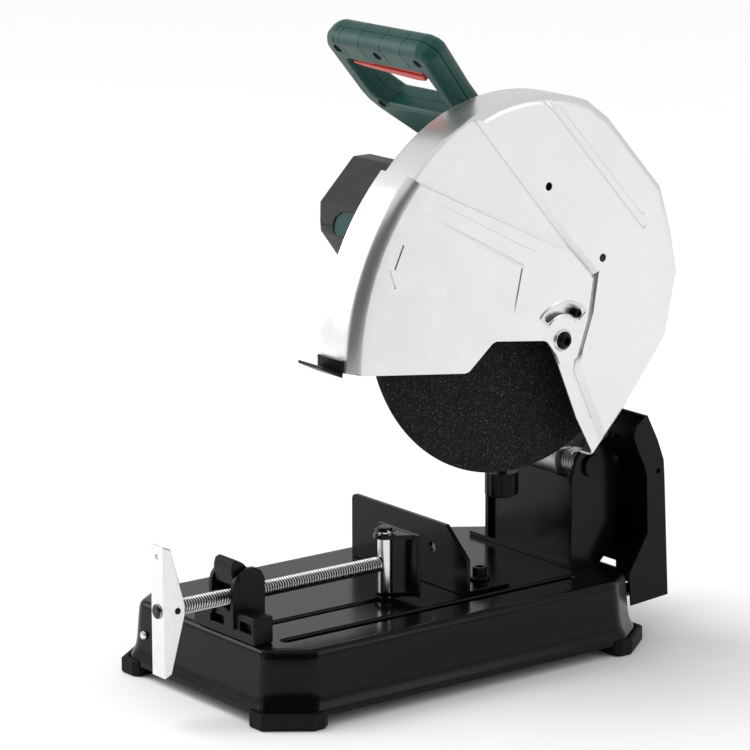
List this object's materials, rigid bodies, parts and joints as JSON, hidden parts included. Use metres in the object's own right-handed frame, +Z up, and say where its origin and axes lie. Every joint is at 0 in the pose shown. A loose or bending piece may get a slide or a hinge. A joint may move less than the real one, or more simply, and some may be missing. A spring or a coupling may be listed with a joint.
{
  "type": "abrasive chop saw",
  "caption": "Bench abrasive cut-off saw: swinging motor head with guarded wheel and self-lifting guard, pressed base, screw vise with swivelling fence, spark shield and D handle.",
  "frame": {"origin": "centre of the bounding box on the floor plane under the rubber feet", "axes": "+Z up, -Y towards the operator and the vise crank, +Y towards the head's pivot and spark shield, +X the side with the wheel and guard face"},
  "size_m": [0.3, 0.6004, 0.6437],
  "materials": {
    "abrasive": "gritty black resin-bonded abrasive",
    "alloy": "cast aluminium",
    "black_plastic": "black plastic",
    "copper": "copper windings on a steel shaft",
    "gloss_black": "gloss black paint on steel sheet",
    "green": "dark green glass-filled plastic",
    "grey_plastic": "dark grey plastic",
    "guard_white": "silver-white paint on pressed steel",
    "red": "salmon red plastic",
    "rubber": "black moulded rubber",
    "satin_black": "satin black coated steel",
    "steel": "turned steel",
    "zinc": "bright zinc plated steel",
    "zinc_white": "pale zinc plated pressed steel"
  },
  "bodies": {
    "base": {"base_tray": "gloss_black", "foot_front_near": "rubber", "foot_front_far": "rubber", "foot_rear_near": "rubber", "foot_rear_far": "rubber", "stand": "gloss_black", "spark_guard": "gloss_black", "spark_screw_near": "zinc", "spark_screw_far": "zinc", "fence_pivot_bolt": "satin_black", "vise_bracket": "satin_black", "release_pin": "zinc", "pivot_shaft": "satin_black", "torsion_spring": "zinc"},
    "fence": {"fence": "gloss_black", "fence_clamp_bolt": "satin_black"},
    "lever": {"release_lever": "satin_black"},
    "carriage": {"jaw_pin": "zinc", "jaw_clip": "satin_black"},
    "screw": {"vise_screw": "zinc", "crank_handle": "zinc_white", "crank_pin": "zinc"},
    "jaw": {"jaw": "gloss_black"},
    "head": {"gear_case": "alloy", "gear_cover": "alloy", "spindle_bearing_front": "steel", "spindle_bearing_rear": "steel", "motor_bearing_front": "steel", "motor_bearing_rear": "steel", "field_core": "steel", "motor_housing": "green", "motor_cap": "grey_plastic", "brush_cap_front": "black_plastic", "brush_cap_rear": "black_plastic", "cord_gland": "rubber", "guard_back_plate": "guard_white", "fixed_guard": "guard_white", "guard_plug_upper": "black_plastic", "guard_plug_lower": "black_plastic", "guard_pivot_bolt": "satin_black", "guide_screw": "satin_black", "handle_lower": "green", "handle_upper": "green", "handle_screw_1": "satin_black", "handle_screw_2": "satin_black", "handle_screw_3": "satin_black", "handle_screw_4": "satin_black", "switch_module": "black_plastic"},
    "guard": {"moving_guard": "guard_white", "guard_tab": "satin_black"},
    "spindle": {"spindle": "steel", "spindle_gear": "steel", "inner_flange": "steel", "cutting_wheel": "abrasive", "outer_flange": "steel", "wheel_bolt": "zinc"},
    "armature": {"armature": "copper"},
    "trigger": {"trigger": "red"},
    "lock_button": {"lock_button": "red"},
    "depth_stop": {"depth_stop": "satin_black"}
  },
  "joints": [
    {"name": "head_swing", "type": "hinge", "parent": "base", "child": "head", "pos_m": [0, 0.2198, 0.1815], "axis": [1, 0, 0], "range_deg": [0, 41.5], "stiffness_Nm_per_rad": 20, "springref_deg": -91.67},
    {"name": "guard_lift", "type": "hinge", "parent": "head", "child": "guard", "pos_m": [0.13, 0.1303, 0.3361], "axis": [1, 0, 0], "range_deg": [-62.5, 0]},
    {"name": "spindle_spin", "type": "hinge", "parent": "head", "child": "spindle", "pos_m": [0.0934, 0.0954, 0.3783], "axis": [1, 0, 0], "continuous": true},
    {"name": "armature_spin", "type": "hinge", "parent": "head", "child": "armature", "pos_m": [0, 0.0932, 0.43416], "axis": [1, 0, 0], "continuous": true},
    {"name": "trigger_pull", "type": "hinge", "parent": "head", "child": "trigger", "pos_m": [-0.05, 0.02037, 0.61543], "axis": [0, -0.7638, -0.6455], "range_deg": [0, 2.6], "stiffness_Nm_per_rad": 2, "springref_deg": -5.73},
    {"name": "lock_press", "type": "slide", "parent": "head", "child": "lock_button", "axis": [0, 1, 0], "range_m": [0, 0.0032], "stiffness_N_per_m": 400, "springref_m": -0.002},
    {"name": "depth_stop_turn", "type": "hinge", "parent": "head", "child": "depth_stop", "pos_m": [0.02, 0.1448, 0.1645], "axis": [0, 0, 1], "continuous": true},
    {"name": "fence_swivel", "type": "hinge", "parent": "base", "child": "fence", "pos_m": [0.058, 0.0858, 0.0785], "axis": [0, 0, 1], "range_deg": [-30, 0]},
    {"name": "vise_slide", "type": "slide", "parent": "base", "child": "carriage", "axis": [0, 1, 0], "range_m": [-0.099, 0.0465]},
    {"name": "screw_turn", "type": "hinge", "parent": "carriage", "child": "screw", "pos_m": [0.0424, -0.1902, 0.114], "axis": [0, 1, 0], "range_deg": [-11881, 5581]},
    {"name": "jaw_swivel", "type": "hinge", "parent": "carriage", "child": "jaw", "pos_m": [0.0424, -0.023, 0.114], "axis": [0, 0, 1], "range_deg": [-30, 0]},
    {"name": "lever_lift", "type": "hinge", "parent": "base", "child": "lever", "pos_m": [0.0424, -0.2142, 0.1355], "axis": [1, 0, 0], "range_deg": [0, 25]}
  ],
  "couplings": [
    {"joint": "armature_spin", "follows": "spindle_spin", "ratio": -4.2},
    {"joint": "guard_lift", "follows": "head_swing", "ratio": -1.5},
    {"joint": "screw_turn", "follows": "vise_slide", "rad_per_m": 2094.4}
  ]
}
